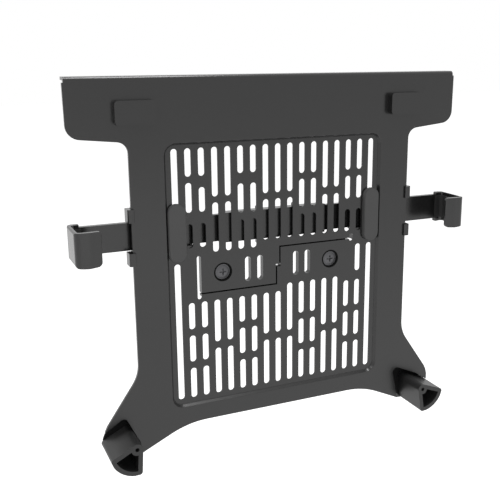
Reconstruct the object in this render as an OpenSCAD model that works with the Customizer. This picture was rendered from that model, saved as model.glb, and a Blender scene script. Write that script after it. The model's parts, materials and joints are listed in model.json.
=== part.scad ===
// Notebook tray for a monitor arm: a moulded panel with vent slots, two sliding side
// arms with hooks and two swivel feet. It stands upright, as it hangs on the arm.
// X runs to the right, Y to the rear, Z up. The origin is the middle of the mounting
// face, halfway between the two mount screws. Depths are counted forward from the
// front of the recessed grille, and at() turns a depth into a place along Y.

/* [Panel] */
// Width of the panel between its side edges
body_w = 250.4; // [230:0.2:280]
// Width over the upper flange
flange_w = 342; // [310:0.2:380]
// Height of the flange's top edge above the mount screws
flange_top = 159.2; // [150:0.1:175]
// Height of the flange's lower edge, at its outer corners
flange_low = 114.9; // [108:0.1:119]
// Height of the panel's lower edge, in the middle
body_low = -126.8; // [-140:0.1:-124]
// Thickness of the raised frame and of the flange
frame_t = 2.4; // [1.8:0.1:3.2]
// Step from the recessed grille up to the frame
recess_depth = 2.8; // [1.5:0.1:4]
// Radius along the flange's top edge, where it turns into the rear lip
lip_r = 3; // [2.4:0.1:4]
// Depth of the stiffening lip behind the flange's top edge
lip_depth = 12; // [6:0.5:20]

/* [Vent grille] */
// Distance from one column of slots to the next
pitch = 11.11; // [10:0.01:12]
// Width of a slot
slot_w = 5.2; // [3:0.1:6]
// Thickness of the slotted sheet
grille_t = 1.2; // [0.8:0.1:2]
// Height of the top of the slots
slots_top = 103.4; // [100:0.1:106]
// Height of the bottom of the slots
slots_low = -106.2; // [-112:0.1:-100]
// Edge of the recess beyond the outermost slots, at the sides
recess_side = 6.5; // [4:0.1:10]
// Edge of the recess beyond the slots, at top and bottom
recess_end = 5; // [4:0.1:8]
// Corner radius of the recess
recess_r = 10; // [6:0.5:14]

/* [Mount] */
// Distance between the two mount screws
mount_pitch = 100; // [75:1:110]
// Depth of the mounting face behind the grille
mount_depth = 14; // [12:0.5:20]
// Diameter of the screws' thread
stud_d = 5; // [4:0.5:6]
// Diameter of the screws' neck inside the tray
neck_d = 4.2; // [3.5:0.1:4.4]
// Length of thread behind the mounting face
stud_out = 8; // [5:0.5:12]
// Diameter of the screws' heads
head_d = 13; // [10:0.5:14]
// Thickness of the two tongues that carry the screws
tongue_t = 5.6; // [4.4:0.1:6]
// Width of the slit between the tongues
slit_w = 1.2; // [0.8:0.1:2]

/* [Arms] */
// Height of the arms' bars
bar_h = 22.2; // [18:0.1:24]
// Thickness of the arms' bars
bar_t = 4.5; // [4:0.1:6]
// Height of the bars' centre line above the mount screws
bar_z = 36.3; // [35:0.1:37]
// Depth of the bars' front face behind the grille
bar_depth = 5.2; // [4.8:0.1:7]
// Distance from the middle to the outside of a hook, as drawn
hook_x = 172.8; // [155:0.1:200]
// Depth of the hooks' front face in front of the grille
hook_front = 25; // [18:0.5:35]
// Width of a hook's lip
lip_w = 19.6; // [12:0.1:22]
// Height of the hooks
hook_h = 26.4; // [22:0.1:28]
// Wall of the hooks
hook_t = 2.6; // [2:0.1:3.5]
// Travel of an arm inwards from the place drawn
arm_in = 38; // [20:1:38]
// Travel of an arm outwards from the place drawn
arm_out = 37; // [20:1:40]
// Gap between a bar and what guides it
slide_gap = 0.3; // [0.2:0.05:0.5]

/* [Feet] */
// Distance from the middle to a foot's axis
foot_x = 135.3; // [128:0.1:140]
// Height of the feet's axes
foot_z = -129; // [-136:0.5:-126]
// Radius of a foot's rim about its axis
foot_r = 22.2; // [18:0.1:24]
// Radius of a foot's hub
foot_hub_r = 4.8; // [4:0.1:6]
// Wall of a foot
foot_wall = 2.4; // [1.8:0.1:3]
// Angle between a foot's two flat sides
foot_angle = 60; // [45:1:65]
// Depth of the feet's front face in front of the grille
foot_front = 27; // [20:0.5:34]
// Depth of the pockets' floor behind the grille
pocket_depth = 9; // [6:0.5:11]
// Diameter of the foot screws' shank
foot_screw_d = 3.5; // [3:0.1:4]

/* [Pads] */
// Width of a grip pad
pad_w = 14.6; // [10:0.1:16]
// Height of a grip pad
pad_h = 47.4; // [30:0.1:52]
// Height of the grip pads above the frame
pad_proud = 1; // [0.5:0.1:2]
// Distance from the middle to a rest block's centre
block_x = 119.4; // [112:0.1:124]
// Width of a rest block on the flange
block_w = 31.8; // [20:0.1:40]
// Height of a rest block
block_h = 18.2; // [10:0.1:20]
// Height of the rest blocks above the flange
block_proud = 6; // [1:0.5:7]

/* [Hidden] */
$fn = 48;
eps = 0.01;
charcoal = "#454545";
dark = "#2b2b2b";
pad_grey = "#525252";
steel = "#b9bcc0";

// Depths, forward from the grille's front
frame_front = recess_depth;
frame_back = recess_depth - frame_t;
bar_front = -bar_depth;
bar_back = -bar_depth - bar_t;
pocket_floor = -pocket_depth;
floor_t = 2.4;
rib_t = 1.6;
rib_depth = 4.6;

// Outline of the panel
body_x = body_w / 2;
flange_x = flange_w / 2;
flange_taper = 0.4;
flange_slope = 4.8;
leg_r = foot_r - 1;
leg_low_r = foot_r - 2.8;
leg_lean = 34.8;
leg_flare = 25;

// Recess
recess_x = 8 * pitch + slot_w / 2 + recess_side;
recess_top = slots_top + recess_end;
recess_low = slots_low - recess_end - 1.4;
recess_wall = 2;
block_rise = 17.8;

// Tongues
tongue_x = 69;
tongue_z = 16.3;
slit_x = 1.6;
rim_w = 2.6;
end_gap_w = 3.5;

// Hooks
hook_bend = 5;
hook_root = 9;
bar_end = 45;
lining_t = 1.2;
lining_foot = 8;
hook_top = bar_z + hook_h / 2 - 0.1;
hook_low = hook_top - hook_h;

// Guides: U-shaped brackets behind the panel, with fingers round its side edges
guide_in = recess_x + recess_wall + 1;
guide_out = body_x - 2.4;
channel_in = guide_in - 27;
guide_wall = 2.2;
channel_h = bar_h + 2 * slide_gap;
channel_front = bar_front + slide_gap;
channel_back = bar_back - slide_gap;
ear_front = frame_back - 3.1;
ear_back = ear_front - guide_wall;
ear_top = bar_z + bar_h / 2 + 12;
ear_low = bar_z - bar_h / 2 - 10.8;
finger_side = 3.2;
finger_reach = 5.3;
finger_t = 2.2;
finger_upper = bar_z + bar_h / 2 + 1.4;
finger_lower = bar_z - bar_h / 2 - 0.4;
guide_screw_z = bar_h / 2 + 7;
guide_screw_x = [guide_in + 2.7, guide_out - rib_t - 2.6];
guide_x = (guide_in + guide_out) / 2;
peg_d = 4;
peg_h = 2;
groove_z = bar_z - 5;
leaf_z = bar_z + 5;
leaf_x = (channel_in + guide_out) / 2;
leaf_t = 0.5;
leaf_w = 5;
leaf_len = 20;
leaf_seat = 1.2;
leaf_gap = 0.1;

// Sleeve
sleeve_x = 46;
sleeve_wall = 1.6;
sleeve_front = channel_front + sleeve_wall;
sleeve_ear_x = 1.5 * pitch;
sleeve_ear_z = bar_h / 2 + 3.3;
sleeve_ear_d = 4;
sleeve_side = 1;
sleeve_shank = 1.8;
sleeve_head = 3.6;

// Feet: at rest the flat sides point these ways, anticlockwise from the right
left_foot_turn = 206.4;
right_foot_turn = 278.8;
foot_gap = 0.3;
foot_screw_in = 12;
washer_t = 0.6;
washer_gap = 0.1;

// Screws
small_shank = 2.2;
small_head = 4.6;
small_head_t = 1.6;
boss_d = 6;
head_t = 2.6;
head_seat = 3.8;
keeper_t = 0.8;
keeper_d = head_d - 0.6;
washer_d = 9;

function unit(v) = v / norm(v);
// Round corner at b, between a and c, as points along an arc of radius r
function corner(a, b, c, r, n = 8) =
    let (u = unit(a - b), v = unit(c - b), half = acos(u * v) / 2, turn = cross(v, u),
        m = b + unit(u + v) * r / sin(half), p = b + u * r / tan(half) - m,
        start = atan2(p.y, p.x), sweep = (180 - 2 * half) * (turn > 0 ? 1 : -1))
    [for (i = [0 : n]) m + r * [cos(start + sweep * i / n), sin(start + sweep * i / n)]];
// Closed outline through [x, z, radius] corners
function rounded(pts) =
    let (n = len(pts))
    [for (i = [0 : n - 1])
        let (b = [pts[i].x, pts[i].y], r = pts[i].z,
            a = [pts[(i + n - 1) % n].x, pts[(i + n - 1) % n].y],
            c = [pts[(i + 1) % n].x, pts[(i + 1) % n].y])
        each r > 0 ? corner(a, b, c, r) : [b]];
// The same outline, taken clockwise, moved outwards by d
function grown(pts, d) =
    let (n = len(pts))
    [for (i = [0 : n - 1])
        let (a = pts[(i + n - 1) % n], b = pts[i], c = pts[(i + 1) % n],
            u = unit([b.x - a.x, b.y - a.y]), v = unit([c.x - b.x, c.y - b.y]),
            m = ([-u.y, u.x] + [-v.y, v.x]) / (1 + u * v))
        [b.x + m.x * d, b.y + m.y * d, b.z > 0 ? b.z + d : 0]];
function mirrored(pts) = [for (i = [len(pts) - 1 : -1 : 0]) [-pts[i].x, pts[i].y, pts[i].z]];
function at(depth) = -(depth + mount_depth);

// Extrudes a front-view outline from one depth back to another
module slab(front, back) {
    translate([0, at(front), 0]) rotate([90, 0, 0]) mirror([0, 0, 1])
        linear_extrude(front - back) children();
}
// A round bar along Y between two depths
module rod(x, z, front, back, d) {
    translate([x, at(front), z]) rotate([-90, 0, 0]) cylinder(d = d, h = front - back);
}
module box(x0, x1, front, back, z0, z1) {
    translate([x0, at(front), z0]) cube([x1 - x0, front - back, z1 - z0]);
}
module both() {
    children();
    mirror([1, 0, 0]) children();
}
module stadium(w, h) {
    r = w / 2;
    square([w, h - w], center = true);
    translate([0, h / 2 - r]) circle(r);
    translate([0, r - h / 2]) circle(r);
}
module slot(column, top, low) {
    translate([column * pitch, (top + low) / 2]) stadium(slot_w, top - low);
}

// Point where a line that leans from the vertical by an angle touches the leg's end
leg_side = [foot_x + leg_r * cos(leg_lean), foot_z + leg_r * sin(leg_lean)];
leg_under = [foot_x - leg_low_r * sin(leg_flare), foot_z - leg_low_r * cos(leg_flare)];
leg_top_z = leg_side.y + (leg_side.x - body_x) / tan(leg_lean);
leg_foot_x = leg_under.x - (body_low - leg_under.y) / tan(leg_flare);

// Right half of the panel's outline, from the top middle down
right_half = [
    [flange_x, flange_top, 2],
    [flange_x - flange_taper, flange_low, 11],
    [body_x, flange_low - flange_slope, 9],
    [body_x, leg_top_z, 30],
    [leg_side.x, leg_side.y, 0],
    for (k = [1 : 7])
        let (a = leg_lean + (leg_flare - 90 - leg_lean) * k / 8,
            r = leg_r + (leg_low_r - leg_r) * k / 8)
        [foot_x + r * cos(a), foot_z + r * sin(a), 0],
    [leg_under.x, leg_under.y, 0],
    [leg_foot_x, body_low, 75]
];
panel_outline = rounded(concat(right_half, mirrored(right_half)));
function box_outline(x, top, low, r) =
    rounded([[x, top, r], [x, low, r], [-x, low, r], [-x, top, r]]);
recess_outline = box_outline(recess_x, recess_top, recess_low, recess_r);
recess_outside = box_outline(recess_x + recess_wall, recess_top + recess_wall,
    recess_low - recess_wall, recess_r + recess_wall);

// Pocket openings in the legs, about the foot's axis. Both feet turn the same way.
left_pocket = [[-34, -2, 0], [-2.7, 18, 3.5], [9.3, -7, 6], [10.8, -34, 0],
    [-34, -34, 0]];
right_pocket = [[-19.6, 18.4, 4.5], [8.1, 5.9, 20], [34, -12, 0], [34, -34, 0],
    [-7.9, -34, 0]];

// How far the housings behind the pockets reach, about the foot's axis
left_housing = [[14, 24, 0], [-2.5, 24, 0], [-18.4, -4.5, 10], [-15, -24, 0],
    [14, -24, 0]];
right_housing_r = foot_r + 4.6;

// Rows of slots: the columns, the top and the bottom
slot_rows = [
    [[-7, -6, -3, -2], slots_top, 81],
    [[-5, -4, 4, 5], slots_top, 63.5],
    [[-1, 0, 1], slots_top, 62.8],
    [[2, 3, 6, 7], slots_top, 77.4],
    [[-8, 8], slots_top, 52],
    [[-7], 76, 52],
    [[-6, 6, 7], 72, 52],
    [[-3, -2, 2, 3], 72.5, 48.5],
    [[-5, -4], 58.7, 17.8],
    [[-1, 0, 1, 4, 5], 57.8, 23.4],
    [[-7, -6, 2, 3, 6, 7], 42.8, 23],
    [[-3, -2], 42.8, 17.8],
    [[7], 10.8, -13.9],
    [[-8, 8], 10.8, slots_low],
    [[-2.5, -1.5, 1.5, 2.5], 10.6, -10.6],
    [[-7, -6, -3, -2], -23.2, -45.9],
    [[6, 7], -22, -45.9],
    [[2, 3], -17, -45.9],
    [[-7, -6, -3, -2, 2, 3, 6, 7], -51.3, -74.3],
    [[-7, -6, -3, -2, 2, 3, 6, 7], -79.8, slots_low],
    [[-5, -4, -1, 0], -23.2, -60],
    [[1, 4, 5], -17, -60],
    [[-5, -4, -1, 0, 1, 4, 5], -65.6, slots_low]
];

// Cut that frees the tongues: a long slit on each side of a short upright one
module tongue_cut() {
    translate([-tongue_x - end_gap_w / 2, -2.6]) stadium(end_gap_w, 36.6);
    translate([tongue_x + end_gap_w / 2, 17.3]) stadium(end_gap_w, 6.6);
    for (s = [-1, 1]) rotate(s < 0 ? 0 : 180) {
        translate([-tongue_x - 1, -tongue_z - slit_w / 2])
            square([tongue_x + 1 - slit_x + slit_w / 2, slit_w]);
        translate([-slit_x - slit_w / 2, -tongue_z]) square([slit_w, tongue_z]);
    }
    square([2 * slit_x + slit_w, 2.2], center = true);
}

module foot_place(side) {
    translate([side * foot_x, foot_z]) children();
}

module leg_pocket(side, wall = 0) {
    foot_place(side) polygon(rounded(grown(side < 0 ? left_pocket : right_pocket, wall)));
}

// Ribs behind the frame, set in from its edges
module frame_ribs() {
    for (s = [-1, 1]) {
        box(s * (body_x - 6) - rib_t / 2, s * (body_x - 6) + rib_t / 2,
            frame_back, frame_back - rib_depth, bar_z + 34, flange_low - 12);
        box(s * (body_x - 6) - rib_t / 2, s * (body_x - 6) + rib_t / 2,
            frame_back, frame_back - rib_depth, leg_top_z + 6, ear_low - 12);
    }
    for (s = [-1, 1], k = [0.42, 0.62, 0.82])
        box(s * k * flange_x - rib_t / 2, s * k * flange_x + rib_t / 2, frame_back,
            frame_back - rib_depth, flange_low + 5, flange_top - lip_r);
    box(-flange_x + 7, flange_x - 7, frame_back, frame_back - rib_depth,
        flange_low + 3.4, flange_low + 3.4 + rib_t);
    box(-leg_foot_x + 8, leg_foot_x - 8, frame_back, frame_back - rib_depth,
        body_low + 5, body_low + 5 + rib_t);
}

// The flange's rounded top edge and the stiffening lip behind it
module top_lip() {
    r = lip_r;
    profile = [
        each [for (a = [0 : 9 : 90]) [-frame_front + r - r * cos(a), r * sin(a) - r]],
        [lip_depth - frame_front, 0], [lip_depth - frame_front, -frame_t],
        [-frame_back + 2, -frame_t], [-frame_back, -frame_t - 2], [-frame_back, -r - 2],
        [-frame_front, -r - 2]];
    translate([-flange_x + 1.2, at(0), flange_top]) rotate([90, 0, 90])
        linear_extrude(flange_w - 2.4) polygon(profile);
}

module guide_screw_places(sides = [-1, 1]) {
    for (s = sides, x = guide_screw_x, z = [-1, 1])
        translate([s * x, 0, bar_z + z * guide_screw_z])
            children();
}
module sleeve_screw_places() {
    for (s = [-1, 1], z = [-1, 1])
        translate([s * sleeve_ear_x, 0, bar_z + z * sleeve_ear_z]) children();
}

// A rest block on the flange, or the hollow behind it
module rest_block(side, wall) {
    translate([side * block_x, 0, flange_low + block_rise])
        slab(frame_front + block_proud - wall, frame_back - (wall > 0 ? 1 : 0))
        polygon(box_outline(block_w / 2 - wall, block_h / 2 - wall, wall - block_h / 2,
            3 - wall / 2));
}

module tray() {
    color(charcoal) difference() {
        union() {
            difference() {
                slab(frame_front, frame_back) polygon(panel_outline);
                slab(frame_front + 1, frame_back - 1) polygon(recess_outline);
                box(-flange_x - 1, flange_x + 1, frame_front + 1, frame_back - 1,
                    flange_top - lip_r - 1, flange_top + 1);
            }
            top_lip();
            slab(frame_front - 0.4, -grille_t) difference() {
                polygon(recess_outside);
                polygon(recess_outline);
            }
            slab(0, -grille_t) polygon(recess_outline);
            slab(0, -tongue_t) square([2 * tongue_x, 2 * tongue_z], center = true);
            // Rims along the slits, opposite the tongues' own edges
            for (a = [0, 180]) slab(0, a > 0 ? sleeve_front + 0.3 : -tongue_t)
                rotate(a) translate([-tongue_x, -tongue_z - rim_w])
                square([tongue_x - slit_x, rim_w + 1]);
            for (s = [-1, 1]) {
                rod(s * mount_pitch / 2, 0, -grille_t, -mount_depth, 15);
                for (a = [0, 90])
                    translate([s * mount_pitch / 2, at(-tongue_t), 0]) rotate([0, a, 0])
                        translate([-9.5, -1, -rib_t / 2]) cube([19, 7, rib_t]);
                // Walls and floor of the foot pockets
                slab(frame_back + eps, pocket_floor - floor_t) intersection() {
                    if (s < 0) foot_place(s) polygon(rounded(left_housing));
                    leg_pocket(s, floor_t);
                    polygon(panel_outline);
                }
                // The right pocket's floor runs on behind the foot
                if (s > 0) slab(pocket_floor, pocket_floor - floor_t) foot_place(s)
                    intersection() {
                        polygon(rounded(right_pocket));
                        union() {
                            intersection() {
                                circle(right_housing_r);
                                translate([0, -8]) square(60);
                            }
                            intersection() {
                                circle(foot_r);
                                translate([-4, -60]) square(120);
                            }
                        }
                    }
                rest_block(s, 0);
                // Ribs that the bars slide on
                for (z = [bar_z - 7, bar_z + 7]) mirror([s < 0 ? 1 : 0, 0, 0]) {
                    box(guide_in, guide_out - 1, frame_back + eps, channel_front,
                        z - rib_t / 2, z + rib_t / 2);
                    box(8 * pitch - 5.4, recess_x - 1, -grille_t + eps, channel_front,
                        z - rib_t / 2, z + rib_t / 2);
                }
            }
            frame_ribs();
            guide_screw_places() rod(0, 0, frame_back + eps, ear_front, boss_d);
            sleeve_screw_places() rod(0, 0, -grille_t + eps, sleeve_front, sleeve_ear_d);
        }
        slab(1, -tongue_t - 1) for (row = slot_rows, column = row[0])
            slot(column, row[1], row[2]);
        slab(1, -tongue_t - 1) tongue_cut();
        for (s = [-1, 1]) {
            rest_block(s, 2);
            rod(s * mount_pitch / 2, 0, 1, -head_seat, head_d + 2.2);
            rod(s * mount_pitch / 2, 0, 1, -mount_depth - 1, stud_d + 0.3);
            slab(frame_front + 1, pocket_floor) leg_pocket(s);
            rod(s * foot_x, foot_z, 0, -20, foot_screw_d + 0.1);
        }
        guide_screw_places() rod(0, 0, frame_front - 1.3, ear_front - 1, small_shank);
        sleeve_screw_places() rod(0, 0, -0.4, sleeve_front - 1, sleeve_shank);
    }
}

// Plan-view outline of [x, depth, radius] corners, raised from one height to another
module plan(low, top, pts) {
    translate([0, 0, low]) linear_extrude(top - low)
        polygon(rounded([for (p = pts) [p.x, at(p.y), p.z]]));
}

module arm(side) {
    inner = hook_x - hook_t;
    color(charcoal) mirror([side < 0 ? 1 : 0, 0, 0]) difference() {
        union() {
            box(bar_end, hook_x - hook_root + 1, bar_front, bar_back,
                bar_z - bar_h / 2, bar_z + bar_h / 2);
            intersection() {
                plan(hook_low - 1, hook_top, [
                    [hook_x, bar_back, hook_bend + 0.5], [hook_x, hook_front, hook_bend],
                    [hook_x - lip_w * 0.55, hook_front + 0.5, 12],
                    [hook_x - lip_w, hook_front - 0.8, 1],
                    [hook_x - lip_w, hook_front - 0.8 - hook_t, 1],
                    [inner, hook_front - hook_t, hook_bend - hook_t],
                    [inner, bar_front, hook_bend - hook_t + 0.5],
                    [hook_x - hook_root, bar_front, 0], [hook_x - hook_root, bar_back, 0]]);
                slab(hook_front + 2, bar_back - 1) polygon(rounded([
                    [hook_x, hook_top, 1.5], [hook_x, hook_low, 2.5],
                    [hook_x - lip_w * 0.45, hook_low - 0.8, 20],
                    [hook_x - lip_w, hook_low, 4], [hook_x - lip_w, hook_top, 2.5]]));
            }
        }
        // Groove that the guide's peg runs in
        slab(bar_back + peg_h + 0.2, bar_back - 1) peg_groove();
    }
}
module peg_groove() {
    w = peg_d + 2 * slide_gap;
    x0 = guide_x - arm_out - w / 2;
    x1 = guide_x + arm_in + w / 2;
    translate([(x0 + x1) / 2, groove_z]) rotate(90) stadium(w, x1 - x0);
}
module left_arm() { arm(-1); }
module right_arm() { arm(1); }

module hook_pad(side) {
    x = hook_x - hook_t;
    end = hook_front - hook_bend - 0.4;
    t = lining_t;
    color(dark) mirror([side < 0 ? 1 : 0, 0, 0])
        plan(bar_z - bar_h / 2 + 1, bar_z + bar_h / 2 - 1, [
            [x, bar_front + 3, 0], [x, end, 0], [x - t, end, 0], [x - t, bar_front + 3.5, 0],
            [x - 3.5, bar_front + t, 0], [x - lining_foot, bar_front + t, 0.5],
            [x - lining_foot, bar_front, 0], [x - 3, bar_front, 0]]);
}
module left_hook_pad() { hook_pad(-1); }
module right_hook_pad() { hook_pad(1); }

module guide(side) {
    low = bar_z - channel_h / 2;
    top = bar_z + channel_h / 2;
    color(charcoal) mirror([side < 0 ? 1 : 0, 0, 0]) difference() {
        union() {
            // The channel's two sides and its back
            for (z = [low - guide_wall, top]) {
                box(guide_in, guide_out, frame_back, channel_back - guide_wall,
                    z, z + guide_wall);
                box(channel_in, guide_in + 1, -grille_t, channel_back - guide_wall,
                    z, z + guide_wall);
            }
            box(channel_in, guide_out, channel_back, channel_back - guide_wall,
                low - guide_wall, top + guide_wall);
            box(channel_in, guide_in + 1, ear_front, ear_back, ear_low, low - 1);
            rod(guide_x, groove_z, bar_back + peg_h, channel_back - 1, peg_d);
            // Ears with the fingers round the panel's edge
            for (e = [[top + 1, ear_top], [ear_low, low - 1]])
                box(guide_in, guide_out, ear_front, ear_back, e.x, e.y);
            for (e = [[finger_upper, ear_top], [ear_low, finger_lower]]) {
                box(guide_out - 1, body_x + finger_side, ear_front, ear_back, e.x, e.y);
                box(body_x, body_x + finger_side, frame_front + 1, ear_back, e.x, e.y);
                plan(e.x, e.y, [
                    [body_x + finger_side, frame_front + finger_t, 1.5],
                    [body_x + finger_side, frame_front, 0],
                    [body_x + finger_side - finger_reach, frame_front, 0],
                    [body_x + finger_side - finger_reach, frame_front + finger_t, 0.8]]);
            }
            for (w = [[guide_out - rib_t, top, ear_top], [guide_out - rib_t, ear_low, low],
                    [channel_in, ear_low, low]])
                box(w.x, w.x + rib_t, ear_back + 0.5, channel_back, w.y, w.z);
        }
        guide_screw_places([1]) rod(0, 0, ear_front + 1, ear_back - 1, small_shank + 0.4);
        box(leaf_x - leaf_len / 2 - 0.2, leaf_x + leaf_len / 2 + 0.2, channel_back + eps,
            channel_back - leaf_seat, leaf_z - leaf_w / 2 - 0.2, leaf_z + leaf_w / 2 + 0.2);
    }
}
module left_guide() { guide(-1); }
module right_guide() { guide(1); }

module leaf_spring(side) {
    floor_at = channel_back - leaf_seat;
    rise = leaf_seat + slide_gap - leaf_t - leaf_gap;
    function bow(x) = floor_at + rise * (1 + cos(360 * x / leaf_len)) / 2;
    xs = [for (i = [-8 : 8]) i * leaf_len / 16];
    color(steel) mirror([side < 0 ? 1 : 0, 0, 0])
        plan(leaf_z - leaf_w / 2, leaf_z + leaf_w / 2, concat(
            [for (x = xs) [leaf_x + x, bow(x) + leaf_t, 0]],
            [for (i = [16 : -1 : 0]) [leaf_x + xs[i], bow(xs[i]), 0]]));
}
module left_leaf_spring() { leaf_spring(-1); }
module right_leaf_spring() { leaf_spring(1); }

module arm_sleeve() {
    half = channel_h / 2;
    color(charcoal) difference() {
        union() {
            box(-sleeve_x, sleeve_x, sleeve_front, channel_back - sleeve_wall,
                bar_z - half - sleeve_side, bar_z + half + sleeve_side);
            sleeve_screw_places() rod(0, 0, sleeve_front, channel_front, sleeve_ear_d);
            for (s = [-1, 1])
                box(s * sleeve_ear_x - sleeve_ear_d / 2, s * sleeve_ear_x + sleeve_ear_d / 2,
                    sleeve_front, channel_front, bar_z - sleeve_ear_z, bar_z + sleeve_ear_z);
        }
        for (s = [-1, 1])
            box(s > 0 ? rib_t : -sleeve_x - 1, s > 0 ? sleeve_x + 1 : -rib_t,
                channel_front, channel_back, bar_z - half, bar_z + half);
        sleeve_screw_places() rod(0, 0, 0, channel_front - 1, sleeve_shank + 0.4);
    }
}

module grip_pad(side) {
    color(pad_grey) translate([side * 8 * pitch, 0, bar_z + 0.4]) {
        slab(frame_front + pad_proud - 0.6, 0) stadium(pad_w, pad_h);
        slab(frame_front + pad_proud, 0) stadium(pad_w - 1.2, pad_h - 1.2);
    }
}
module left_grip_pad() { grip_pad(-1); }
module right_grip_pad() { grip_pad(1); }

// Cross-shaped driver recess, narrowing inwards
module cross(x, z, front, size, depth) {
    for (a = [0, 90], k = [0 : 3])
        translate([x, at(front), z]) rotate([0, a, 0])
            translate([-size / 2 * (1 - k / 6), -1, -size / 12])
            cube([size * (1 - k / 6), 1 + depth * (k + 1) / 4, size / 6]);
}
// Screw along Y: a pan head in front of its seat and the shank behind it
module screw(x, z, seat, d, length, head, height) {
    color(steel) difference() {
        union() {
            rod(x, z, seat, seat - length, d);
            rod(x, z, seat + height * 0.6, seat, head);
            translate([x, at(seat + height * 0.6), z]) rotate([90, 0, 0]) intersection() {
                cylinder(d = head, h = height * 0.4);
                translate([0, 0, height * 0.4 - head * 1.2]) sphere(r = head * 1.2, $fn = 64);
            }
        }
        cross(x, z, seat + height, head * 0.56, height * 0.6);
    }
}
// The same, turned round: its head is at the back
module back_screw(x, z, seat, d, length, head, height) {
    translate([x, at(seat), z]) rotate([0, 0, 180]) translate([0, -at(0), 0])
        screw(0, 0, 0, d, length, head, height);
}

module mount_screw(side) {
    x = side * mount_pitch / 2;
    seat = keeper_t - head_seat;
    // A thin neck inside the boss, and the thread behind the mounting face
    union() {
        screw(x, 0, seat, neck_d, mount_depth + seat + 1, head_d, head_t);
        color(steel) rod(x, 0, -mount_depth, -mount_depth - stud_out, stud_d);
    }
}
module left_mount_screw() { mount_screw(-1); }
module right_mount_screw() { mount_screw(1); }

module ring(x, z, front, back, d, bore) {
    color(steel) difference() {
        rod(x, z, front, back, d);
        rod(x, z, front + 1, back - 1, bore);
    }
}
module keeper(side) {
    ring(side * mount_pitch / 2, 0, keeper_t - head_seat, -head_seat, keeper_d,
        neck_d + 0.2);
}
module left_keeper() { keeper(-1); }
module right_keeper() { keeper(1); }

// A foot's outline about its axis, with its first side along the direction turn
function foot_outline(turn, inset) =
    let (r = foot_r - inset, h = foot_hub_r - inset, reach = sqrt(r * r - h * h),
        tip = asin(h / r), end = turn + foot_angle)
    rounded([
        [r * cos(turn - tip), r * sin(turn - tip), 2.6 - inset / 2],
        for (a = [turn + 4 : (foot_angle - 8) / 8 : end - 3.9]) [r * cos(a), r * sin(a), 0],
        [r * cos(end + tip), r * sin(end + tip), 2.6 - inset / 2],
        for (k = [0 : 12])
            let (a = end + 90 + (180 - foot_angle) * k / 12) [h * cos(a), h * sin(a), 0]]);

module foot(side, turn) {
    rear = pocket_floor + foot_gap;
    color(charcoal) difference() {
        slab(foot_front, rear) foot_place(side) polygon(foot_outline(turn, 0));
        slab(foot_front + 1, rear + foot_wall) foot_place(side) difference() {
            polygon(foot_outline(turn, foot_wall));
            circle(foot_hub_r);
        }
        rod(side * foot_x, foot_z, foot_front + 1, rear - 1, foot_screw_d - 0.1);
        rod(side * foot_x, foot_z, rear + foot_screw_in, rear - 1, foot_screw_d + 0.1);
    }
}
module left_foot() { foot(-1, left_foot_turn); }
module right_foot() { foot(1, right_foot_turn); }

module foot_washer(side) {
    ring(side * foot_x, foot_z, pocket_floor - floor_t,
        pocket_floor - floor_t - washer_t, washer_d, foot_screw_d + 0.4);
}
module left_foot_washer() { foot_washer(-1); }
module right_foot_washer() { foot_washer(1); }

module foot_screw(side) {
    seat = pocket_floor - floor_t - washer_t - washer_gap;
    back_screw(side * foot_x, foot_z, seat, foot_screw_d,
        pocket_floor + foot_gap + foot_screw_in - seat - 0.5, 7, 1.8);
}
module left_foot_screw() { foot_screw(-1); }
module right_foot_screw() { foot_screw(1); }

module guide_screws() {
    guide_screw_places() back_screw(0, 0, ear_back, small_shank - 0.1,
        frame_front - 1.5 - ear_back, small_head, small_head_t);
}
module sleeve_screws() {
    sleeve_screw_places() back_screw(0, 0, channel_front, sleeve_shank - 0.1,
        -0.6 - channel_front, sleeve_head, small_head_t);
}

tray();
left_arm();
right_arm();
left_hook_pad();
right_hook_pad();
left_guide();
right_guide();
left_leaf_spring();
right_leaf_spring();
arm_sleeve();
left_grip_pad();
right_grip_pad();
left_mount_screw();
right_mount_screw();
left_keeper();
right_keeper();
left_foot();
right_foot();
left_foot_screw();
right_foot_screw();
left_foot_washer();
right_foot_washer();
guide_screws();
sleeve_screws();
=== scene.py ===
"""Notebook tray for a monitor arm: finishes, small trim, lights and camera.

The scene is in metres. Outlines, profiles and depths are written in millimetres and go
through MM. X runs to the right, Y to the rear and Z up, with the origin on the mounting
face behind the tray, halfway between its two mount screws.
"""
import json
import math
import bmesh
import bpy
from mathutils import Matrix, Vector


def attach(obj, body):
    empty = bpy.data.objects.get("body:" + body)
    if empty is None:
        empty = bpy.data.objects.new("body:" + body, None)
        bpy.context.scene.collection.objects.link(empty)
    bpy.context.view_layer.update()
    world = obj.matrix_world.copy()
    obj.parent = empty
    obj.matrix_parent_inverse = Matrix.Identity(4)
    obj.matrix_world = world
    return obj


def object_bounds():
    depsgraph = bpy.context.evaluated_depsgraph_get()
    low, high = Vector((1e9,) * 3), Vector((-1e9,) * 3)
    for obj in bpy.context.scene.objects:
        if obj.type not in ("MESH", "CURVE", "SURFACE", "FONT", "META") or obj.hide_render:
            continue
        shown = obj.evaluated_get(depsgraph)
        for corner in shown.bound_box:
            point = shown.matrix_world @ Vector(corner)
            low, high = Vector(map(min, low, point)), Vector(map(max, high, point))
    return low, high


MM = 0.001
SIDES = {"left": -1, "right": 1}
WHITE = (1.0, 1.0, 1.0, 1.0)
# Where a Mix node keeps its two colours and its result
MIX_A, MIX_B, MIX_RESULT = 6, 7, 2

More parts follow.
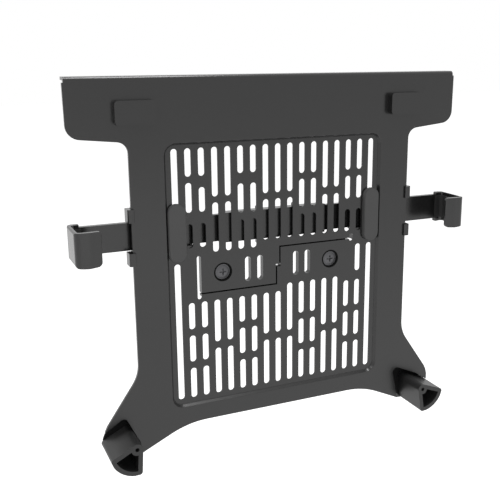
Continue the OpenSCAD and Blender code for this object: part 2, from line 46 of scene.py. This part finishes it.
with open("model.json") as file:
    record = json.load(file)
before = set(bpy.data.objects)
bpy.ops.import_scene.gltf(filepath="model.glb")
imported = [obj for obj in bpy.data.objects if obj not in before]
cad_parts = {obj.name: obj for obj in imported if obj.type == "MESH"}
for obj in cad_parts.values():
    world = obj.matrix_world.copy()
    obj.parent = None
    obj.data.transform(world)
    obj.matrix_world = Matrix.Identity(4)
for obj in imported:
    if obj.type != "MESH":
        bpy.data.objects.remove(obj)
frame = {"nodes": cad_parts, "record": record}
cad_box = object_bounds()


# ---------------------------------------------------------------- colour and nodes

def linear(hex_colour, alpha=1.0):
    """An sRGB hex value as the linear colour that a shader takes."""
    channels = [int(hex_colour[i:i + 2], 16) / 255 for i in (1, 3, 5)]
    return tuple(c / 12.92 if c <= 0.04045 else ((c + 0.055) / 1.055) ** 2.4
                 for c in channels) + (alpha,)


def add_node(tree, kind, links=None, **settings):
    """One shader node: links joins sockets, inputs sets socket values, and the other
    settings are the node's own attributes."""
    node = tree.nodes.new(kind)
    values = settings.pop("inputs", {})
    for name, value in settings.items():
        setattr(node, name, value)
    for socket, value in values.items():
        node.inputs[socket].default_value = value
    for socket, source in (links or {}).items():
        tree.links.new(source, node.inputs[socket])
    return node


def new_material(name):
    material = bpy.data.materials.new(name)
    material.use_nodes = True
    tree = material.node_tree
    shader = tree.nodes["Principled BSDF"]
    return material, tree, shader


def mm_scale(size_mm):
    """The texture scale that makes one feature about size_mm across, in metres' space."""
    return 1.0 / (size_mm * MM)


# ---------------------------------------------------------------- materials

# How far apart the melt's pale flow marks lie, and the die's marks on a screw's head
FLOW_MM = 55
DIE_MARK_MM = 0.35


def moulded_abs(name, colour, worn, roughness, grain_mm=0.9, grain_height_mm=0.012,
                ior=1.53, specular=0.5):
    """Injection-moulded ABS from a spark-eroded tool: a satin skin with a fine even grain,
    slightly paler where the melt flowed thin. The grain is drawn coarser than it is, so
    that it shows."""
    material, tree, shader = new_material(name)
    place = add_node(tree, "ShaderNodeTexCoord").outputs["Object"]
    flow = add_node(tree, "ShaderNodeTexNoise", {"Vector": place},
                    inputs={"Scale": mm_scale(FLOW_MM), "Detail": 2.0, "Roughness": 0.45})
    grain = add_node(tree, "ShaderNodeTexNoise", {"Vector": place},
                     inputs={"Scale": mm_scale(grain_mm), "Detail": 3.0, "Roughness": 0.6})
    tint = add_node(tree, "ShaderNodeMapRange", {"Value": flow.outputs["Fac"]},
                    inputs={"From Min": 0.35, "From Max": 0.65,
                            "To Min": 0.0, "To Max": 0.10})
    mixed = add_node(tree, "ShaderNodeMix", {0: tint.outputs["Result"]}, data_type="RGBA",
                     inputs={MIX_A: linear(colour), MIX_B: linear(worn)})
    tree.links.new(mixed.outputs[MIX_RESULT], shader.inputs["Base Color"])
    gloss = add_node(tree, "ShaderNodeMapRange", {"Value": grain.outputs["Fac"]},
                     inputs={"From Min": 0.3, "From Max": 0.7,
                             "To Min": roughness - 0.03, "To Max": roughness + 0.04})
    tree.links.new(gloss.outputs["Result"], shader.inputs["Roughness"])
    bump = add_node(tree, "ShaderNodeBump", {"Height": grain.outputs["Fac"]},
                    inputs={"Strength": 0.35, "Distance": grain_height_mm * MM})
    tree.links.new(bump.outputs["Normal"], shader.inputs["Normal"])
    shader.inputs["IOR"].default_value = ior
    shader.inputs["Specular IOR Level"].default_value = specular
    return material


def soft_rubber(name, colour, worn, specular=0.5):
    """Moulded thermoplastic rubber: matt, with a fine dry bloom and almost no highlight."""
    return moulded_abs(name, colour, worn, 0.78, grain_mm=0.6, grain_height_mm=0.02,
                       ior=1.5, specular=specular)


def drawn_steel(name, colour, roughness):
    """Cold-headed steel with a thin plating: a metal with faint marks from the die."""
    material, tree, shader = new_material(name)
    place = add_node(tree, "ShaderNodeTexCoord").outputs["Object"]
    marks = add_node(tree, "ShaderNodeTexNoise", {"Vector": place},
                     inputs={"Scale": mm_scale(DIE_MARK_MM), "Detail": 2.0})
    gloss = add_node(tree, "ShaderNodeMapRange", {"Value": marks.outputs["Fac"]},
                     inputs={"From Min": 0.3, "From Max": 0.7,
                             "To Min": roughness - 0.05, "To Max": roughness + 0.07})
    tree.links.new(gloss.outputs["Result"], shader.inputs["Roughness"])
    shader.inputs["Base Color"].default_value = linear(colour)
    shader.inputs["Metallic"].default_value = 1.0
    return material


# The panel and the arms come out of the tool glossy, so they mirror the pale room
PANEL_ABS = moulded_abs("charcoal moulded ABS", "#232323", "#272727", 0.22)
ARM_ABS = moulded_abs("charcoal moulded ABS, arms", "#222222", "#262626", 0.2)
# The feet are duller, so their rims stay an even dark grey
FOOT_ABS = moulded_abs("charcoal moulded ABS, feet", "#303030", "#363636", 0.4,
                       specular=0.38)
# Rough, and darkened to near black as painted shade for the deep hollows it lines: the laps
# behind the slits and the pocket floors
DEEP_SHADE_ABS = moulded_abs("charcoal moulded ABS, painted as deep shade", "#121212", "#161616",
                        0.7, specular=0.12)
NYLON = moulded_abs("black nylon washer", "#222222", "#2c2c2c", 0.5)
PAD_RUBBER = soft_rubber("grey thermoplastic rubber", "#565656", "#606060")
LINING_RUBBER = soft_rubber("black rubber lining", "#1b1b1b", "#262626")
# A near-black ring round each bolt head: painted shade of the dark gap in its counterbore
SHADE_RING_BLACK = soft_rubber("black ring painted as counterbore shade", "#060606", "#0a0a0a", specular=0.12)
BLACK_SCREW = drawn_steel("black zinc-plated steel", "#5e5e60", 0.5)
SPRING_STEEL = drawn_steel("bright spring steel", "#b9bcc0", 0.28)

FINISHES = {
    "panel_plastic": PANEL_ABS, "arm_plastic": ARM_ABS, "foot_plastic": FOOT_ABS,
    "grip_rubber": PAD_RUBBER, "hook_lining": LINING_RUBBER, "screw_steel": BLACK_SCREW,
    "spring_steel": SPRING_STEEL, "washer_nylon": NYLON,
}
slot_of = {s["node"]: s["material_slot"] for s in frame["record"]["subparts"]}
for node_name, piece in frame["nodes"].items():
    finish = FINISHES[slot_of[node_name]]
    if not piece.data.materials:
        piece.data.materials.append(finish)
    for index in range(len(piece.data.materials)):
        piece.data.materials[index] = finish


# ---------------------------------------------------------------- making small trim

def add_loop(made, outline, depth):
    """The vertices of an outline, seen from the front, at one depth."""
    return [made.verts.new(Vector((x, depth, z)) * MM) for x, z in outline]


def join_loops(made, loops, closed=True):
    """Faces from each loop to the next, and from the last one back to the first. Open
    loops are strips, whose two ends don't meet."""
    for this, that in zip(loops, loops[1:] + loops[:1]):
        for i in range(len(this) if closed else len(this) - 1):
            j = (i + 1) % len(this)
            made.faces.new((this[i], this[j], that[j], that[i]))


def add_plate(made, outline, front_depth, back_depth):
    """A flat plate with square sides."""
    front = add_loop(made, outline, front_depth)
    back = add_loop(made, outline, back_depth)
    made.faces.new(front)
    made.faces.new(back[::-1])
    for i in range(len(outline)):
        j = (i + 1) % len(outline)
        made.faces.new((front[i], front[j], back[j], back[i]))


def add_piece(name, made, smooth=False, finish=PANEL_ABS,
              body="tray"):
    """Turns a bmesh into a piece of the scene that rides on one body of the part."""
    bmesh.ops.recalc_face_normals(made, faces=made.faces)
    mesh = bpy.data.meshes.new(name)
    made.to_mesh(mesh)
    made.free()
    for face in mesh.polygons:
        face.use_smooth = smooth
    mesh.materials.append(finish)
    piece = bpy.data.objects.new(name, mesh)
    bpy.context.scene.collection.objects.link(piece)
    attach(piece, body)
    return piece


# ---------------------------------------------------------------- recess border

GRILLE_FACE = -14.0
RECESS_HALF_WIDTH, RECESS_TOP, RECESS_LOW, RECESS_CORNER = 97.98, 108.4, -112.6, 10.0
CORNER_STEPS = 12
# How far in from the recess's edge and how far proud of the grille: from the frame's
# face, over a rounded edge, down a slope and into a small fillet
BORDER_PROFILE = [(-0.05, 2.8), (0.12, 2.79), (0.3, 2.68), (0.45, 2.48), (1.7, 0.36),
                  (1.9, 0.12), (2.2, -0.02), (-0.05, -0.02)]


def border_outline(inwards):
    """A rectangle with round corners, so far in from the recess's edge."""
    outline = []
    for quarter, (x, z) in enumerate([(RECESS_HALF_WIDTH, RECESS_TOP),
                                      (-RECESS_HALF_WIDTH, RECESS_TOP),
                                      (-RECESS_HALF_WIDTH, RECESS_LOW),
                                      (RECESS_HALF_WIDTH, RECESS_LOW)]):
        centre_x = x - math.copysign(RECESS_CORNER, x)
        centre_z = z - math.copysign(RECESS_CORNER, z)
        for step in range(CORNER_STEPS + 1):
            angle = math.radians(90 * quarter + 90 / CORNER_STEPS * step)
            outline.append((centre_x + (RECESS_CORNER - inwards) * math.cos(angle),
                            centre_z + (RECESS_CORNER - inwards) * math.sin(angle)))
    return outline


border = bmesh.new()
join_loops(border, [add_loop(border, border_outline(inwards), GRILLE_FACE - proud)
                    for inwards, proud in BORDER_PROFILE])
add_piece("recess_border", border, smooth=True)

# ---------------------------------------------------------------- laps behind the tongue slits

# An L behind each slit, with the middle left open, coloured near black as painted shade in the
# slits
LAP_OUTLINES = [
    [(-67.5, -18.6), (2.6, -18.6), (2.6, -2.7), (-5.0, -2.7), (-5.0, -13.2), (-67.5, -13.2)],
    [(68.4, 18.6), (-2.6, 18.6), (-2.6, 0.0), (5.0, 0.0), (5.0, 13.2), (68.4, 13.2)],
]
LAP_FRONT, LAP_BACK = -8.36, -7.5
LAP_ROUNDING = 0.25
laps = bmesh.new()
for outline in LAP_OUTLINES:
    add_plate(laps, outline, LAP_FRONT, LAP_BACK)
bmesh.ops.bevel(laps, geom=laps.edges[:], offset=LAP_ROUNDING * MM, segments=2,
                affect="EDGES")
add_piece("tongue_laps", laps, finish=DEEP_SHADE_ABS)

# ---------------------------------------------------------------- black rings round the bolt heads, painted shade

BOLT_X = 50.0
SHADE_RING_STEPS = 64
# Radius and height above the grille's face, outwards from the head
SHADE_RING_PROFILE = [(6.62, -3.2), (6.62, -0.25), (6.75, -0.05), (7.1, 0.06), (7.8, 0.06),
                  (8.0, 0.02), (8.06, -0.1), (7.5, -0.2), (7.5, -3.2)]
SHADE_RING_TURNS = [math.tau * step / SHADE_RING_STEPS for step in range(SHADE_RING_STEPS)]
for hand, side in SIDES.items():
    shade_ring = bmesh.new()
    rings = []
    for radius, height in SHADE_RING_PROFILE:
        circle = [(BOLT_X * side + radius * math.cos(turn), radius * math.sin(turn))
                  for turn in SHADE_RING_TURNS]
        rings.append(add_loop(shade_ring, circle, GRILLE_FACE - height))
    join_loops(shade_ring, rings)
    add_piece(hand + "_bolt_ring_painted_shade", shade_ring, smooth=True, finish=SHADE_RING_BLACK)

# ---------------------------------------------------------------- inner walls of the feet

FOOT_X, FOOT_Z = 135.3, -129.0
FOOT_RADIUS, FOOT_HUB = 22.2, 4.8
FOOT_ANGLE = 60.0
# Where each foot's sector starts, about its screw
FOOT_TURNS = {"left": 206.4, "right": 278.8}
FOOT_FACE, HOLLOW_FLOOR = -41.02, -7.8
# The added wall's two faces, in from the foot's outside, and how far it runs into the hub
WALL_OUTSIDE, WALL_INSIDE = 2.35, 3.7
HUB_LAP = 0.05
RIM_STEPS = 14


def about_foot(side, outline):
    """Moves an outline from the foot's screw to its place on the part."""
    return [(FOOT_X * side + x, FOOT_Z + z) for x, z in outline]


def foot_path(turn, inset):
    """The hollow of a foot from the hub, along one flat side, round the rim and back."""
    radius, off = FOOT_RADIUS - inset, FOOT_HUB - inset
    start = math.sqrt((FOOT_HUB - HUB_LAP) ** 2 - off ** 2)
    tip = math.degrees(math.asin(off / radius))
    first, last = math.radians(turn), math.radians(turn + FOOT_ANGLE)
    path = [(start * math.cos(first) + off * math.sin(first),
             start * math.sin(first) - off * math.cos(first))]
    for step in range(RIM_STEPS + 1):
        angle = math.radians(turn - tip + (FOOT_ANGLE + 2 * tip) * step / RIM_STEPS)
        path.append((radius * math.cos(angle), radius * math.sin(angle)))
    path.append((start * math.cos(last) - off * math.sin(last),
                 start * math.sin(last) + off * math.cos(last)))
    return path


for hand, side in SIDES.items():
    inner_wall = bmesh.new()
    strips = [add_loop(inner_wall, about_foot(side, foot_path(FOOT_TURNS[hand], inset)),
                       depth)
              for inset, depth in ((WALL_OUTSIDE, FOOT_FACE), (WALL_INSIDE, FOOT_FACE),
                                   (WALL_INSIDE, HOLLOW_FLOOR),
                                   (WALL_OUTSIDE, HOLLOW_FLOOR))]
    join_loops(inner_wall, strips, closed=False)
    inner_wall.faces.new([strip[0] for strip in strips])
    inner_wall.faces.new([strip[-1] for strip in strips[::-1]])
    add_piece(hand + "_foot_inner_wall", inner_wall, finish=FOOT_ABS,
              body=hand + "_foot")

# ---------------------------------------------------------------- floors of the foot pockets, painted shade

# Each floor's skin, about its foot's screw, which it runs round, near black as painted shade
# of the deep pocket.
# The left one reaches out to the leg's edge.
POCKET_FLOORS = {
    "left": [(-7.3, 14.6), (-9.6, 12.9), (-15.4, 4.2), (-18.2, -1.6), (-19.2, -4.4),
             (-19.4, -8.0), (-14.0, -12.0), (-10.74, -12.0), (-1.82, 1.23), (-0.42, 2.16),
             (1.23, 1.82), (2.16, 0.42), (1.82, -1.23), (-5.44, -12.0), (9.2, -12.0),
             (8.9, -6.9), (-0.9, 14.2), (-1.9, 15.8), (-3.2, 16.5), (-4.6, 16.3)],
    "right": [(-17.3, 9.6), (-12.0, -13.8), (-8.0, -16.5), (-4.0, -18.3), (0.0, -20.0),
              (11.3, -17.18), (-1.71, -1.38), (-2.19, 0.23), (-1.38, 1.71), (0.23, 2.19),
              (1.71, 1.38), (14.4, -14.3), (20.0, -8.0), (24.2, -7.6), (24.2, -5.6),
              (8.0, 5.5), (-11.5, 14.4), (-13.3, 14.8), (-15.0, 14.4), (-16.5, 13.3),
              (-17.3, 11.7)],
}
POCKET_FLOOR_FRONT, POCKET_FLOOR_BACK = -5.1, -2.7
for hand, side in SIDES.items():
    skin = bmesh.new()
    add_plate(skin, about_foot(side, POCKET_FLOORS[hand]), POCKET_FLOOR_FRONT,
              POCKET_FLOOR_BACK)
    add_piece(hand + "_pocket_floor_painted_shade", skin, finish=DEEP_SHADE_ABS)

# ---------------------------------------------------------------- camera

LENS_MM, SENSOR_MM = 56.97, 36.0
CAMERA_SHIFT = (-0.0615, -0.0069)
CAMERA_AT = Vector((-271.9, -603.5, 177.8)) * MM
CAMERA_TILT = (76.025, 0.098, -24.979)
camera_data = bpy.data.cameras.new("camera")
camera_data.lens = LENS_MM
camera_data.sensor_width = SENSOR_MM
camera_data.shift_x, camera_data.shift_y = CAMERA_SHIFT
camera_data.clip_start = 0.01
camera = bpy.data.objects.new("camera", camera_data)
camera.location = CAMERA_AT
camera.rotation_euler = [math.radians(a) for a in CAMERA_TILT]
bpy.context.scene.collection.objects.link(camera)
bpy.context.scene.camera = camera


# ---------------------------------------------------------------- lights and studio

def area_lamp(name, place, aim, size, watts):
    data = bpy.data.lights.new(name, "AREA")
    data.shape = "RECTANGLE"
    data.size, data.size_y = size
    data.energy = watts
    lamp = bpy.data.objects.new(name, data)
    lamp.location = place
    lamp.rotation_euler = (Vector(aim) - Vector(place)).to_track_quat("-Z", "Y").to_euler()
    bpy.context.scene.collection.objects.link(lamp)
    return lamp


CENTRE = (0.0, 0.0, 0.0)
key = area_lamp("key", (-0.12, -1.9, 0.35), CENTRE, (0.16, 0.16), 8)
# Small and near the front, it would burn a white spot into the glossy panel
key.visible_glossy = False
area_lamp("overhead", (0.15, 0.0, 1.2), CENTRE, (0.75, 0.3), 7)
area_lamp("top left", (-0.96, -0.28, 1.2), CENTRE, (0.3, 0.3), 3)

# The room: white to the eye and in reflections, and dim as a source of light
ROOM_LIGHT, ROOM_SEEN = 0.25, 1.0
world = bpy.data.worlds.new("studio")
bpy.context.scene.world = world
world.use_nodes = True
sky = world.node_tree
sky.nodes.clear()
ray = add_node(sky, "ShaderNodeLightPath")
mirrored = add_node(sky, "ShaderNodeMath", {0: ray.outputs["Is Glossy Ray"],
                                            1: ray.outputs["Is Transmission Ray"]},
                    operation="MAXIMUM")
around = add_node(sky, "ShaderNodeMapRange", {"Value": mirrored.outputs["Value"]},
                  inputs={"To Min": ROOM_LIGHT, "To Max": ROOM_SEEN})
strength = add_node(sky, "ShaderNodeMath", {0: around.outputs["Result"],
                                            1: ray.outputs["Is Camera Ray"]},
                    operation="MAXIMUM")
glow = add_node(sky, "ShaderNodeBackground", {"Strength": strength.outputs["Value"]},
                inputs={"Color": WHITE})
add_node(sky, "ShaderNodeOutputWorld", {"Surface": glow.outputs["Background"]})

# The floor: pale, seen as white, and darker only in the object's own shadow
FLOOR_DROP = 0.10
FLOOR_REACH = 6
FLOOR_GLOW = 0.85
floor_material, floor_tree, floor_shader = new_material("white studio floor")
floor_shader.inputs["Base Color"].default_value = linear("#d8d8d8")
floor_shader.inputs["Roughness"].default_value = 0.9
seen = add_node(floor_tree, "ShaderNodeLightPath")
looked_at = add_node(floor_tree, "ShaderNodeMath", {0: seen.outputs["Is Camera Ray"],
                                                    1: seen.outputs["Is Glossy Ray"]},
                     operation="MAXIMUM")
lift = add_node(floor_tree, "ShaderNodeMath", {0: looked_at.outputs["Value"]},
                inputs={1: FLOOR_GLOW}, operation="MULTIPLY")
floor_tree.links.new(lift.outputs["Value"], floor_shader.inputs["Emission Strength"])
floor_shader.inputs["Emission Color"].default_value = WHITE
floor_mesh = bpy.data.meshes.new("floor")
height = cad_box[0][2] - FLOOR_DROP
floor_mesh.from_pydata([(x * FLOOR_REACH, y * FLOOR_REACH, height)
                        for x, y in ((-1, -1), (1, -1), (1, 1), (-1, 1))],
                       [], [(0, 1, 2, 3)])
floor_mesh.materials.append(floor_material)
floor = bpy.data.objects.new("floor", floor_mesh)
bpy.context.scene.collection.objects.link(floor)

bpy.context.scene.view_settings.view_transform = "Standard"
